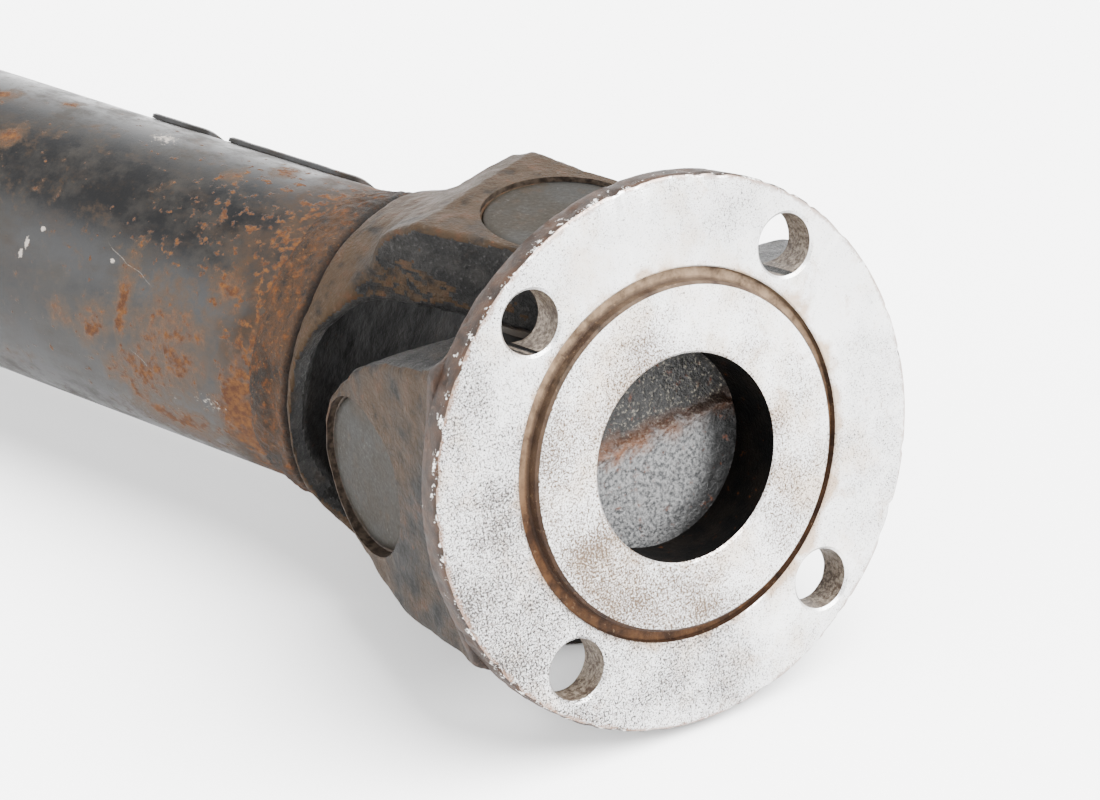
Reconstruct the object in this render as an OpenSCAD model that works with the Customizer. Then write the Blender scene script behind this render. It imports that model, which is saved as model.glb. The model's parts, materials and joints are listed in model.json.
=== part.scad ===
// Universal joint shaft: a steel tube with a cross joint and a round bolt flange at each end,
// and a splined slip joint that lets the length change.
// It lies as put down on a floor, with both joints bent: the tube is along X and +Z is up. The
// origin is the centre of flange A's mounting face. Millimetres.

/* [Shaft] */
// Length between the flange faces, with the joints straight and the slip joint at mid travel
shaft_length = 640; // [600:5:900]
// Outer diameter of the tube
tube_d = 70; // [68:1:72]
// Wall thickness of the tube
tube_wall = 3; // [2:0.5:4]
// Distance from the centre of a joint to its flange face
joint_to_face = 47; // [47:1:55]
// Thickness of the weld bead's crest above the tube
weld_crest = 2; // [1:0.5:3]

/* [Flange] */
// Outer diameter of the flange
flange_d = 120; // [116:1:130]
// Thickness of the flange plate
flange_t = 8; // [7:0.5:9]
// Diameter of the raised centring pilot
pilot_d = 75; // [73:0.5:76]
// Height of the pilot above the flange face
pilot_h = 2; // [2:0.5:4]
// Diameter of the pocket in the middle of the pilot
pocket_d = 45; // [40:1:46]
// Depth of the pocket below the flange face
pocket_depth = 12; // [8:1:12]
// Bolt hole spacing along Y
bolt_span_y = 64; // [60:1:66]
// Bolt hole spacing along Z
bolt_span_z = 76; // [74:1:78]
// Diameter of the bolt holes
bolt_d = 13.5; // [10:0.5:14]

/* [Joint] */
// Diameter of the bearing cups
cup_d = 35; // [34:0.5:35]
// Distance over the faces of two opposite cups
cross_span = 96.8; // [96:0.2:97.6]
// Diameter of the cross trunnions
trunnion_d = 22; // [21:0.5:22]
// Diameter of the needle rollers
needle_d = 3; // [2.5:0.5:3]
// Needle rollers in each cup
needle_count = 24; // [16:1:24]
// Distance between the inner faces of two ears
ear_gap = 60; // [58:1:61]
// Distance over the outer faces of two ears
ear_span = 98.4; // [98.2:0.2:99]
// Radius of the round boss at the end of an ear
ear_boss_r = 20; // [19.7:0.1:20.3]
// Turn of both flanges about the upright axis of their joint, as laid down
swing = 22; // [0:1:25]
// Tilt of both flange faces upwards, as laid down
tilt = 14; // [0:1:18]

/* [Slip joint] */
// Outer diameter of the splines
spline_d = 40; // [38:1:42]
// Number of splines
spline_count = 16; // [12:1:18]
// Outer diameter of the sleeve
sleeve_d = 56; // [54:1:60]
// Length of the sleeve, from its mouth to the bottom of the fork
sleeve_length = 106; // [100:1:110]
// Slip travel each way
slip_travel = 25; // [20:1:25]

/* [Hidden] */
$fn = 96;

steel = [0.62, 0.61, 0.59];
rusty = [0.36, 0.25, 0.18];
black = [0.09, 0.09, 0.1];
dull = [0.4, 0.39, 0.38];
rubber = [0.08, 0.08, 0.08];

tube_r = tube_d / 2;
spigot_r = tube_r - tube_wall;
cup_r = cup_d / 2;
cup_face = cross_span / 2;
ear_in = ear_gap / 2;
ear_out = ear_span / 2;
trunnion_r = trunnion_d / 2;
needle_r = needle_d / 2;
spline_r = spline_d / 2;
sleeve_r = sleeve_d / 2;

// Running clearances
needle_gap = 0.03;
spline_gap = 0.08;
seal_gap = 0.3;
press_gap = 0.02;

// Bearing, measured along a trunnion from the joint's centre
cup_floor_t = 4;
cup_bore_r = trunnion_r + 2 * needle_r + 2 * needle_gap;
cup_mouth = 26.5;
washer_t = 1;
washer_in = cup_face - cup_floor_t - washer_t;
trunnion_end = washer_in - 0.1;
clip_t = 1.5;
clip_r = 20;
clip_groove_r = cup_r - 0.9;
cross_shoulder_r = trunnion_r + 2.5;
cross_shoulder = 26;
hub_r = 19.5;
hub_half_t = 14.5;
channel_r = 2.5;
channel_depth = 30;
nipple_seat = 23.6;
nipple_seat_r = 4.6;

// Fork of a yoke: the U-shaped slot between its ears and the body behind the slot
slot_bottom = -46.6;
slot_corner_r = 8;
arm_half_w = 22.8;
base_r = 39;
neck_end = slot_bottom - 1.9;
web_back = slot_bottom - 10;

// Weld between the tube and a yoke, measured from the joint's centre
neck_r = tube_r + 2;
tube_start = neck_end - 3.5;
weld_back = neck_end - 12.5;
spigot_end = neck_end - 18;

// Slip joint, measured from the joint's centre
sleeve_mouth = slot_bottom - sleeve_length;
cap_lip_x = sleeve_mouth - 5;
cap_length = 16;
nipple_x = -82;
spline_front = slot_bottom - 12 - slip_travel;
spline_back = sleeve_mouth - slip_travel - 2;
stub_shoulder = cap_lip_x - slip_travel - 12;
stub_tube_end = stub_shoulder - 6;

// Centre of joint A, and the distance from there to joint B
joint_a = -joint_to_face * [cos(tilt) * cos(swing), -cos(tilt) * sin(swing), sin(tilt)];
joint_gap = shaft_length - 2 * joint_to_face;
tube_length = joint_gap + tube_start + stub_tube_end;

// Places its children at joint A or joint B, with the flange towards local +X
module at_a() { translate(joint_a) children(); }
module at_b() { translate(joint_a - [joint_gap, 0, 0]) rotate([0, 0, 180]) children(); }

// Turns its children with a joint's cross, or with its flange yoke
module swung() { rotate([0, 0, -swing]) children(); }
module bent() { swung() rotate([0, -tilt, 0]) children(); }

// Turns a shape built along Z so that it lies along X
module along_x() { rotate([0, 90, 0]) children(); }

// Two copies of a shape built on +Z: one on each end of the Z axis, or of the Y axis
module pair_z() { for (turn = [0, 180]) rotate([turn, 0, 0]) children(); }
module pair_y() { for (turn = [90, -90]) rotate([turn, 0, 0]) children(); }

// ---- tube and welds ----

module tube() {
    color(black)
    at_a() translate([tube_start - tube_length, 0, 0]) along_x() difference() {
        cylinder(r = tube_r, h = tube_length);
        translate([0, 0, -1]) cylinder(r = spigot_r + press_gap, h = tube_length + 2);
    }
}

// Bead between a tube end and the neck in front of it, built from the neck backwards
module weld_bead(neck_x, tube_x, back_x) {
    crest_r = tube_r + weld_crest;
    color(rusty)
    along_x() rotate_extrude() polygon([
        [spigot_r + press_gap, neck_x], [neck_r, neck_x],
        [crest_r - 0.2, neck_x - 2.5], [crest_r, neck_x - 5],
        [crest_r - 0.6, back_x + 2.5], [tube_r + 0.02, back_x],
        [tube_r + 0.02, tube_x], [spigot_r + press_gap, tube_x]
    ]);
}

module tube_weld_a() { at_a() weld_bead(neck_end, tube_start, weld_back); }

module tube_weld_b() { at_b() weld_bead(stub_shoulder, stub_tube_end, stub_tube_end - 7); }

// Curved plate spot-welded to the tube: x is its front end, measured from joint A's centre
module balance_weight(x, length, from_angle, to_angle) {
    plate_t = 1.4;
    reach = 3 * tube_r;
    mid_angle = (from_angle + to_angle) / 2;
    color(black)
    at_a() translate([x - length, 0, 0]) intersection() {
        along_x() difference() {
            cylinder(r = tube_r + plate_t, h = length);
            translate([0, 0, -1]) cylinder(r = tube_r + press_gap, h = length + 2);
        }
        rotate([90, 0, 90]) linear_extrude(length) polygon([
            [0, 0],
            reach * [cos(from_angle), sin(from_angle)],
            reach * [cos(mid_angle), sin(mid_angle)],
            reach * [cos(to_angle), sin(to_angle)]
        ]);
    }
}

module balance_weight_1() { balance_weight(-71, 39, 22, 61); }
module balance_weight_2() { balance_weight(-117, 17, 26, 61); }
module balance_weight_3() { balance_weight(60 + tube_start - tube_length, 40, 250, 290); }

// ---- yokes ----

// Round boss of one ear, on +Z, with chamfered outer edge
module ear_boss() {
    chamfer = 0.8;
    rotate_extrude() polygon([
        [0, ear_in], [ear_boss_r, ear_in], [ear_boss_r, ear_out - chamfer],
        [ear_boss_r - chamfer, ear_out], [0, ear_out]
    ]);
}

// Bore for one cup, on +Z, with the lead-in chamfer at its mouth
module ear_bore() {
    translate([0, 0, ear_in - 2]) cylinder(r = cup_r + press_gap, h = ear_out);
    translate([0, 0, ear_out - 0.8]) cylinder(r1 = cup_r + press_gap, r2 = cup_r + 1.5, h = 1.5);
}

// Fork with its ears on the Z axis: two arms that rise from a round base
module fork() {
    wide = 2 * base_r;
    corner_x = slot_bottom + slot_corner_r;
    corner_z = ear_in - slot_corner_r;
    difference() {
        union() {
            intersection() {
                // The turned base, the arms' height and the arms' width
                along_x() rotate_extrude() polygon([
                    [0, neck_end], [neck_r, neck_end], [base_r, slot_bottom],
                    [base_r + 3, -39], [ear_out + 7, -30], [ear_out + 7, 1], [0, 1]
                ]);
                rotate([90, 0, 0]) translate([0, 0, -wide]) linear_extrude(2 * wide) polygon([
                    [-wide, -wide], [-39, -base_r - 3], [-31, 4 - ear_out], [-23, -ear_out],
                    [1, -ear_out], [1, ear_out], [-23, ear_out], [-31, ear_out - 4],
                    [-39, base_r + 3], [-wide, wide]
                ]);
                translate([0, 0, -wide]) linear_extrude(2 * wide) polygon([
                    [-wide, -wide], [-40, -30], [-34, -25.5], [-27, -arm_half_w - 0.5],
                    [-20, -arm_half_w], [-12, 1.3 - arm_half_w], [0, 0.5 - ear_boss_r],
                    [0, ear_boss_r - 0.5], [-12, arm_half_w - 1.3], [-20, arm_half_w],
                    [-27, arm_half_w + 0.5], [-34, 25.5], [-40, 30], [-wide, wide]
                ]);
            }
            pair_z() ear_boss();
        }
        // U-shaped slot that the other yoke's ears swing in
        translate([corner_x, -wide, -ear_in]) cube([wide, 2 * wide, 2 * ear_in]);
        translate([slot_bottom, -wide, -corner_z]) cube([wide, 2 * wide, 2 * corner_z]);
        for (z = [-corner_z, corner_z]) translate([corner_x, 0, z]) rotate([90, 0, 0])
            cylinder(r = slot_corner_r, h = 2 * wide, center = true);
        pair_z() ear_bore();
    }
}

module tube_yoke() {
    hollow_r = spigot_r - 8;
    color(rusty) at_a() {
        fork();
        along_x() rotate_extrude() polygon([
            [hollow_r, spigot_end], [spigot_r - 1, spigot_end], [spigot_r, spigot_end + 2],
            [spigot_r, neck_end + 0.01], [0, neck_end + 0.01], [0, web_back],
            [hollow_r - 4, web_back], [hollow_r, web_back - 4]
        ]);
    }
}

module flange_plate() {
    back = joint_to_face - flange_t;
    face = joint_to_face;
    pocket_r = pocket_d / 2;
    floor_x = face - pocket_depth;
    web = 5.5;
    groove_r = pilot_d / 2 + 2.8;
    groove_depth = 1.5;
    flange_r = flange_d / 2;
    along_x() rotate_extrude() polygon([
        [0, floor_x - web], [pocket_r - 7, floor_x - web], [pocket_r + 5, back],
        [flange_r - 1.5, back], [flange_r, back + 1.5], [flange_r, face - 1],
        [flange_r - 1, face], [groove_r, face], [groove_r, face - groove_depth],
        [pilot_d / 2, face - groove_depth], [pilot_d / 2, face + pilot_h],
        [pocket_r + 0.5, face + pilot_h], [pocket_r, face + pilot_h - 0.5],
        [pocket_r, floor_x], [0, floor_x]
    ]);
}

// Flange with its two ears on the Y axis
module flange_yoke() {
    back = joint_to_face - flange_t;
    arm_root = 28.5;
    difference() {
        union() {
            flange_plate();
            pair_y() {
                ear_boss();
                translate([0, 0, ear_in]) linear_extrude(ear_out - ear_in) polygon([
                    [-6, 1 - ear_boss_r], [2, -23.5], [12, 2 - arm_root],
                    [back + 1, -arm_root], [back + 1, arm_root], [12, arm_root - 2],
                    [2, 23.5], [-6, ear_boss_r - 1]
                ]);
            }
        }
        pair_y() ear_bore();
        for (y = [-1, 1], z = [-1, 1])
            translate([back - 5, y * bolt_span_y / 2, z * bolt_span_z / 2])
                along_x() cylinder(d = bolt_d, h = flange_t + 10);
    }
}

module flange_yoke_a() { color(steel) at_a() bent() flange_yoke(); }
module flange_yoke_b() { color(steel) at_b() bent() flange_yoke(); }

// ---- crosses ----

module cross() {
    difference() {
        union() {
            along_x() translate([0, 0, -hub_half_t]) cylinder(r = hub_r, h = 2 * hub_half_t);
            rotate([-45, 0, 0]) translate([0, 0, hub_r - 4])
                cylinder(r = nipple_seat_r, h = nipple_seat - hub_r + 4);
            for (turn = [0, 90]) rotate([turn, 0, 0]) {
                translate([0, 0, -cross_shoulder])
                    cylinder(r = cross_shoulder_r, h = 2 * cross_shoulder);
                translate([0, 0, -trunnion_end]) cylinder(r = trunnion_r, h = 2 * trunnion_end);
            }
        }
        // Grease channels: one down each trunnion, and the nipple's thread hole
        for (turn = [0 : 90 : 270]) rotate([turn, 0, 0])
            translate([0, 0, trunnion_end - channel_depth])
                cylinder(r = channel_r, h = channel_depth + 1);
        rotate([-45, 0, 0]) translate([0, 0, hub_r - 4]) cylinder(r = channel_r, h = 20);
    }
}

// Ball-headed grease nipple, standing on z = 0
module grease_nipple() {
    translate([0, 0, -5]) cylinder(r = channel_r - 0.05, h = 6);
    cylinder(r = 4, h = 3.5, $fn = 6);
    translate([0, 0, 3]) rotate_extrude() polygon([
        [0, 0], [2.4, 0], [2.4, 1.5], [1.7, 2.5], [1.7, 3.2], [2.5, 4.4], [2.2, 5.6], [0, 6.2]
    ]);
}

module cross_nipple() {
    rotate([-45, 0, 0]) translate([0, 0, nipple_seat + press_gap]) grease_nipple();
}

module cross_a() { color(dull) at_a() swung() cross(); }
module cross_b() { color(dull) at_b() swung() cross(); }
module cross_a_nipple() { color(steel) at_a() swung() cross_nipple(); }
module cross_b_nipple() { color(steel) at_b() swung() cross_nipple(); }

// ---- bearings: each is built on +Z and placed in pairs ----

module cup() {
    edge = 0.6;
    rotate_extrude() polygon([
        [0, cup_face], [cup_r - edge, cup_face], [cup_r, cup_face - edge], [cup_r, ear_in],
        [clip_groove_r, ear_in], [clip_groove_r, ear_in - clip_t - 0.1],
        [cup_r, ear_in - clip_t - 0.1], [cup_r, cup_mouth], [cup_bore_r, cup_mouth],
        [cup_bore_r, cup_face - cup_floor_t], [0, cup_face - cup_floor_t]
    ]);
}

module needles() {
    pitch_r = trunnion_r + needle_r + needle_gap;
    from_z = cup_mouth + 2;
    for (i = [0 : needle_count - 1]) rotate([0, 0, i * 360 / needle_count])
        translate([pitch_r, 0, from_z])
            cylinder(r = needle_r, h = washer_in - from_z - 0.1, $fn = 24);
}

// Ring that closes the mouth of a cup
module seal() {
    translate([0, 0, cup_mouth - 2.6]) difference() {
        cylinder(r = cup_r - 0.5, h = 2.6);
        translate([0, 0, -1]) cylinder(r = cross_shoulder_r + seal_gap, h = 5);
    }
    difference() {
        translate([0, 0, cup_mouth]) cylinder(r = cup_bore_r - press_gap, h = 1.6);
        cylinder(r = cross_shoulder_r + seal_gap, h = 40);
    }
}

module thrust_washer() {
    translate([0, 0, washer_in]) cylinder(r = cup_bore_r - 0.2, h = washer_t - 0.02);
}

// Open ring that snaps into the groove of a cup against the inner face of the ear
module clip() {
    mouth = 30;
    difference() {
        translate([0, 0, ear_in - clip_t - 0.05]) cylinder(r = clip_r, h = clip_t);
        cylinder(r = clip_groove_r + press_gap, h = ear_out);
        linear_extrude(ear_out) polygon([
            [0, 0], 2 * clip_r * [cos(mouth), -sin(mouth)], 2 * clip_r * [cos(mouth), sin(mouth)]
        ]);
    }
}

module cups_tube_yoke() { color(dull) at_a() pair_z() cup(); }
module needles_tube_yoke() { color(steel) at_a() pair_z() needles(); }
module seals_tube_yoke() { color(rubber) at_a() pair_z() seal(); }
module washers_tube_yoke() { color(steel) at_a() pair_z() thrust_washer(); }
module clips_tube_yoke() { color(dull) at_a() pair_z() clip(); }

module cups_flange_yoke_a() { color(dull) at_a() bent() pair_y() cup(); }
module needles_flange_yoke_a() { color(steel) at_a() bent() pair_y() needles(); }
module seals_flange_yoke_a() { color(rubber) at_a() bent() pair_y() seal(); }
module washers_flange_yoke_a() { color(steel) at_a() bent() pair_y() thrust_washer(); }
module clips_flange_yoke_a() { color(dull) at_a() bent() pair_y() clip(); }

module cups_slip_yoke() { color(dull) at_b() pair_z() cup(); }
module needles_slip_yoke() { color(steel) at_b() pair_z() needles(); }
module seals_slip_yoke() { color(rubber) at_b() pair_z() seal(); }
module washers_slip_yoke() { color(steel) at_b() pair_z() thrust_washer(); }
module clips_slip_yoke() { color(dull) at_b() pair_z() clip(); }

module cups_flange_yoke_b() { color(dull) at_b() bent() pair_y() cup(); }
module needles_flange_yoke_b() { color(steel) at_b() bent() pair_y() needles(); }
module seals_flange_yoke_b() { color(rubber) at_b() bent() pair_y() seal(); }
module washers_flange_yoke_b() { color(steel) at_b() bent() pair_y() thrust_washer(); }
module clips_flange_yoke_b() { color(dull) at_b() bent() pair_y() clip(); }

// ---- slip joint, built along local X with the fork towards +X ----

// Cross-section of the splines: a core with straight-sided teeth cut to the outer diameter
module spline_section(gap) {
    root_r = spline_r - 3;
    tooth_w = PI * spline_d / spline_count / 2;
    circle(r = root_r + gap);
    intersection() {
        circle(r = spline_r + gap);
        for (i = [0 : spline_count - 1]) rotate(i * 360 / spline_count)
            translate([0, -tooth_w / 2 - gap]) square([spline_r + 2, tooth_w + 2 * gap]);
    }
}

module stub_shaft() {
    neck_x = stub_shoulder + 9;
    color(steel) at_b() {
        along_x() rotate_extrude() polygon([
            [0, stub_tube_end - 14], [spigot_r - 1, stub_tube_end - 14],
            [spigot_r, stub_tube_end - 12], [spigot_r, stub_shoulder], [neck_r, stub_shoulder],
            [neck_r, stub_shoulder + 2], [neck_r - 4, stub_shoulder + 5],
            [spline_r + 3, stub_shoulder + 6], [spline_r - 0.05, neck_x],
            [spline_r - 0.05, spline_back - 3], [spline_r - 3, spline_back], [0, spline_back]
        ]);
        translate([spline_back - 3, 0, 0]) along_x()
            linear_extrude(spline_front - spline_back + 3) spline_section(0);
    }
}

module slip_yoke() {
    bore_r = spline_r + spline_gap;
    color(rusty) at_b() difference() {
        union() {
            fork();
            along_x() rotate_extrude() polygon([
                [0, sleeve_mouth], [sleeve_r - 1, sleeve_mouth], [sleeve_r, sleeve_mouth + 1],
                [sleeve_r, neck_end - 13], [sleeve_r + 3, neck_end - 5],
                [neck_r, neck_end + 0.01], [0, neck_end + 0.01]
            ]);
        }
        translate([sleeve_mouth - 1, 0, 0]) along_x()
            linear_extrude(slot_bottom - 8 - sleeve_mouth) spline_section(spline_gap);
        translate([slot_bottom - 10, 0, 0]) along_x() cylinder(r = bore_r, h = 20);
        // Thread hole of the grease nipple
        translate([nipple_x, 0, 0]) cylinder(r = channel_r, h = sleeve_r + 1);
    }
}

module dust_cap() {
    cap_r = sleeve_r + 3.5;
    color(dull) at_b() translate([cap_lip_x, 0, 0]) along_x() difference() {
        union() {
            cylinder(r = cap_r - 1, h = cap_length);
            translate([0, 0, 1]) cylinder(r = cap_r, h = cap_length - 2);
        }
        translate([0, 0, 5]) cylinder(r = sleeve_r + press_gap, h = cap_length);
        translate([0, 0, 1.5]) cylinder(r = sleeve_r - 1.5, h = 5);
        translate([0, 0, -1]) cylinder(r = spline_r + seal_gap, h = 5);
    }
}

module dust_seal() {
    color(rubber) at_b() translate([sleeve_mouth - 3.4, 0, 0]) along_x() difference() {
        cylinder(r = sleeve_r - 1.6, h = 3.3);
        translate([0, 0, -1]) cylinder(r = spline_r + seal_gap, h = 6);
    }
}

module core_plug() {
    color(steel) at_b() translate([slot_bottom - 5, 0, 0]) along_x()
        cylinder(r = spline_r + spline_gap - press_gap, h = 2);
}

module slip_grease_nipple() {
    color(steel) at_b() translate([nipple_x, 0, sleeve_r + press_gap]) grease_nipple();
}

tube();
tube_weld_a();
tube_weld_b();
balance_weight_1();
balance_weight_2();
balance_weight_3();
tube_yoke();
stub_shaft();
slip_yoke();
dust_cap();
dust_seal();
core_plug();
slip_grease_nipple();
cross_a();
cross_a_nipple();
flange_yoke_a();
cross_b();
cross_b_nipple();
flange_yoke_b();
cups_tube_yoke();
needles_tube_yoke();
seals_tube_yoke();
washers_tube_yoke();
clips_tube_yoke();
cups_flange_yoke_a();
needles_flange_yoke_a();
seals_flange_yoke_a();
washers_flange_yoke_a();
clips_flange_yoke_a();
cups_slip_yoke();
needles_slip_yoke();
seals_slip_yoke();
washers_slip_yoke();
clips_slip_yoke();
cups_flange_yoke_b();
needles_flange_yoke_b();
seals_flange_yoke_b();
washers_flange_yoke_b();
clips_flange_yoke_b();
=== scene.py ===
"""Looks of the universal joint shaft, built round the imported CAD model.

Lengths inside the shape functions are millimetres in the frame of one joint: its centre is the
origin, +X points out of its flange, the tube or slip yoke's ears lie on Z and the flange yoke's
ears on Y. place() turns them into metres in the row's frame.
"""

import json
import math

import bmesh
import bpy
import numpy as np
import openvdb
from mathutils import Matrix, Vector, noise


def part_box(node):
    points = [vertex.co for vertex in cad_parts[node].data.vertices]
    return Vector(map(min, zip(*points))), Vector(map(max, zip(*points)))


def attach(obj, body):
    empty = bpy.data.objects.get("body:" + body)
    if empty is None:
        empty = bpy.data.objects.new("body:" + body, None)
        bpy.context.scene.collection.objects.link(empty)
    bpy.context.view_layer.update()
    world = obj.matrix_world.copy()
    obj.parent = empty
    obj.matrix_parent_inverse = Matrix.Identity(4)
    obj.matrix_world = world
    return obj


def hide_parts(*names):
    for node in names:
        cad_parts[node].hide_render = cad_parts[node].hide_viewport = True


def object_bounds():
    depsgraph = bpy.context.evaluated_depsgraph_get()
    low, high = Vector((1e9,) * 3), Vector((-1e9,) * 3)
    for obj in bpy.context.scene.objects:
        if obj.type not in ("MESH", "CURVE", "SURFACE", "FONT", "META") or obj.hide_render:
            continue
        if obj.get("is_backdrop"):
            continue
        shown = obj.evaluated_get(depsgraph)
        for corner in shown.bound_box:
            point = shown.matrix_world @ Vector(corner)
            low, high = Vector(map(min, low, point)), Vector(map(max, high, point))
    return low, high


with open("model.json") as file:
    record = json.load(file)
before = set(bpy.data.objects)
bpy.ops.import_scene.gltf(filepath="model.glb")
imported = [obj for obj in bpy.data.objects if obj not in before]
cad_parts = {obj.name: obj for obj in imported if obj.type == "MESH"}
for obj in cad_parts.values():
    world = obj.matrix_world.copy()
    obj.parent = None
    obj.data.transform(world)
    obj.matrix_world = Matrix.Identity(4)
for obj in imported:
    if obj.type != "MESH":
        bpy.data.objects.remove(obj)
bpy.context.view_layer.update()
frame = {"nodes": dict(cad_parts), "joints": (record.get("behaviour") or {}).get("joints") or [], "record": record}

MM = 0.001


# ---- sizes, read from the frame

def joint(name):
    return next(j for j in frame["joints"] if j["name"] == name)


def joint_centre(name):
    return Vector(joint(name)["pos_m"])


def mount(name):
    return next(m for m in frame["record"]["mounts"] if m["name"] == name)


def extent(node, axis):
    """Size of a CAD node along one axis, in millimetres."""
    low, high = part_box(node)
    return (high[axis] - low[axis]) / MM


X, Y, Z = 0, 1, 2
CENTRE_A = joint_centre("flange_a_tilt")
CENTRE_B = joint_centre("flange_b_tilt")
FRAME_A = Matrix.Translation(CENTRE_A)
FRAME_B = Matrix.Translation(CENTRE_B) @ Matrix.Rotation(math.pi, 4, "Z")


def flange_frame(end):
    """Frame of a bent flange yoke: X out of its face, Y along its ears, origin at its joint."""
    out = Vector(mount("flange_%s_pilot" % end)["axis"]).normalized()
    ears = Vector(joint("flange_%s_tilt" % end)["axis"]).normalized()
    turn = Matrix((out, ears, out.cross(ears))).transposed()
    return Matrix.Translation(joint_centre("flange_%s_tilt" % end)) @ turn.to_4x4()


FLANGE_A = flange_frame("a")
FLANGE_B = flange_frame("b")

FACE = (Vector(mount("flange_a_pilot")["pos_m"]) - CENTRE_A).length / MM
FLANGE_R = 60.0
FLANGE_T = 8.0
PILOT_R = mount("flange_a_pilot")["dims"]["r_mm"]
GROOVE_DEPTH = 1.5
PILOT_TOP = FACE + mount("flange_a_pilot")["dims"]["length_mm"] - GROOVE_DEPTH
BOLT_R = mount("flange_a_bolts_near")["dims"]["hole_r_mm"]
BOLT_Z = mount("flange_a_bolts_near")["dims"]["pcd_mm"] / 2
BOLT_Y = (Vector(mount("flange_a_bolts_near")["pos_m"])
          - Vector(mount("flange_a_bolts_far")["pos_m"])).length / 2 / MM
POCKET_R = 22.5
POCKET_FLOOR = FACE - 12
GROOVE_R = PILOT_R + 2.8

CUP_R = extent("cups_tube_yoke", X) / 2
CUP_FACE = extent("cups_tube_yoke", Z) / 2
CUP_MOUTH = 26.5
EAR_OUT = extent("tube_yoke", Z) / 2
EAR_IN = 30.0
BOSS_R = 20.0
TUBE_R = extent("tube", Z) / 2
SPIGOT_R = TUBE_R - 3
SLOT_BOTTOM = -46.6
NECK_END = SLOT_BOTTOM - 1.9
DISH_R = 33
SLEEVE_R = 28.0
SPLINE_BORE_R = 20.08
NIPPLE_SEAT_X = -82
# Outlines run a little past the axis, so that none of their edges lies on it.
PAST_AXIS = -9


# ---- mesh helpers

def new_object(name, data):
    obj = bpy.data.objects.new(name, data)
    bpy.context.scene.collection.objects.link(obj)
    return obj


def mesh_object(name, points, faces):
    mesh = bpy.data.meshes.new(name)
    mesh.from_pydata(points, [], faces)
    mesh.update()
    return new_object(name, mesh)


def place(obj, matrix):
    """Moves a shape in joint millimetres to metres in the row's frame, into its vertices."""
    obj.data.transform(matrix @ Matrix.Scale(MM, 4))
    obj.data.update()
    return obj


def smooth(obj, angle=35):
    obj.data.shade_smooth()
    obj.data.set_sharp_from_angle(angle=math.radians(angle))
    return obj


def lathe(name, profile, segments=192):
    """Closed solid of revolution about X. profile is a closed loop of (radius, x) points; a
    radius of 0 is on the axis."""
    points, rings = [], []
    for radius, x in profile:
        if radius < 1e-6:
            rings.append([len(points)])
            points.append((x, 0, 0))
            continue
        rings.append(list(range(len(points), len(points) + segments)))
        for i in range(segments):
            a = 2 * math.pi * i / segments
            points.append((x, radius * math.cos(a), radius * math.sin(a)))
    faces = []
    for ring, following in zip(rings, rings[1:] + rings[:1]):
        for i in range(segments):
            j = (i + 1) % segments
            quad = [ring[i % len(ring)], ring[j % len(ring)],
                    following[j % len(following)], following[i % len(following)]]
            quad = list(dict.fromkeys(quad))
            if len(quad) > 2:
                faces.append(quad)
    return mend_normals(mesh_object(name, points, faces))


def mend_normals(obj):
    bm = bmesh.new()
    bm.from_mesh(obj.data)
    bmesh.ops.remove_doubles(bm, verts=bm.verts, dist=1e-5)
    bmesh.ops.recalc_face_normals(bm, faces=bm.faces)
    bm.to_mesh(obj.data)
    bm.free()
    obj.data.update()
    return obj


def bmesh_object(name, bm):
    """Object made of a bmesh, which is freed."""
    mesh = bpy.data.meshes.new(name)
    bm.to_mesh(mesh)
    bm.free()
    return new_object(name, mesh)


def join(name, objects):
    """One object out of several, which are removed."""
    bm = bmesh.new()
    for obj in objects:
        bm.from_mesh(obj.data)
        bpy.data.objects.remove(obj)
    return bmesh_object(name, bm)


def bake(obj):
    """Applies the object's modifiers to its mesh."""
    bpy.context.view_layer.update()
    evaluated = obj.evaluated_get(bpy.context.evaluated_depsgraph_get())
    mesh = bpy.data.meshes.new_from_object(evaluated)
    obj.modifiers.clear()
    obj.data = mesh
    return obj


def boolean(obj, other, operation):
    """Cuts or joins a second solid, which is removed."""
    modifier = obj.modifiers.new("cut", "BOOLEAN")
    modifier.operation = operation
    modifier.solver = "MANIFOLD"
    modifier.object = other
    bake(obj)
    obj.data.materials.clear()
    bpy.data.objects.remove(other)
    return obj


def on_ear(obj, axis, side):
    """Turns a shape from the +X axis to the ear axis, Y or Z, on the side given, -1 or 1."""
    about, degrees = {"Z": ("Y", -90), "Y": ("Z", 90)}[axis]
    obj.data.transform(Matrix.Rotation(math.radians(degrees * side), 4, about))
    return obj


# ---- distance fields for forgings

def smooth_min(a, b, k):
    h = np.clip(0.5 + 0.5 * (b - a) / k, 0, 1)
    return b + (a - b) * h - k * h * (1 - h)


def smooth_max(a, b, k):
    return -smooth_min(-a, -b, k)


def field_polygon(u, v, corners):
    """Signed distance in a plane to a closed polygon, negative inside."""
    best = np.full(u.shape, 1e9, np.float32)
    sign = np.ones(u.shape, np.float32)
    for (au, av), (bu, bv) in zip(corners, corners[1:] + corners[:1]):
        eu, ev = bu - au, bv - av
        wu, wv = u - au, v - av
        t = np.clip((wu * eu + wv * ev) / (eu * eu + ev * ev), 0, 1)
        best = np.minimum(best, (wu - eu * t) ** 2 + (wv - ev * t) ** 2)
        above, below = v >= av, v < bv
        left = eu * wv > ev * wu
        crossing = (above & below & left) | (~above & ~below & ~left)
        sign = np.where(crossing, -sign, sign)
    return sign * np.sqrt(best)


def field_rod(along, across1, across2, radius, low, high, rounding=0.0):
    """Distance to a cylinder, its edges rounded."""
    side = np.hypot(across1, across2) - (radius - rounding)
    end = np.maximum(low + rounding - along, along - (high - rounding))
    inside = np.minimum(np.maximum(side, end), 0)
    return inside + np.hypot(np.maximum(side, 0), np.maximum(end, 0)) - rounding


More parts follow.
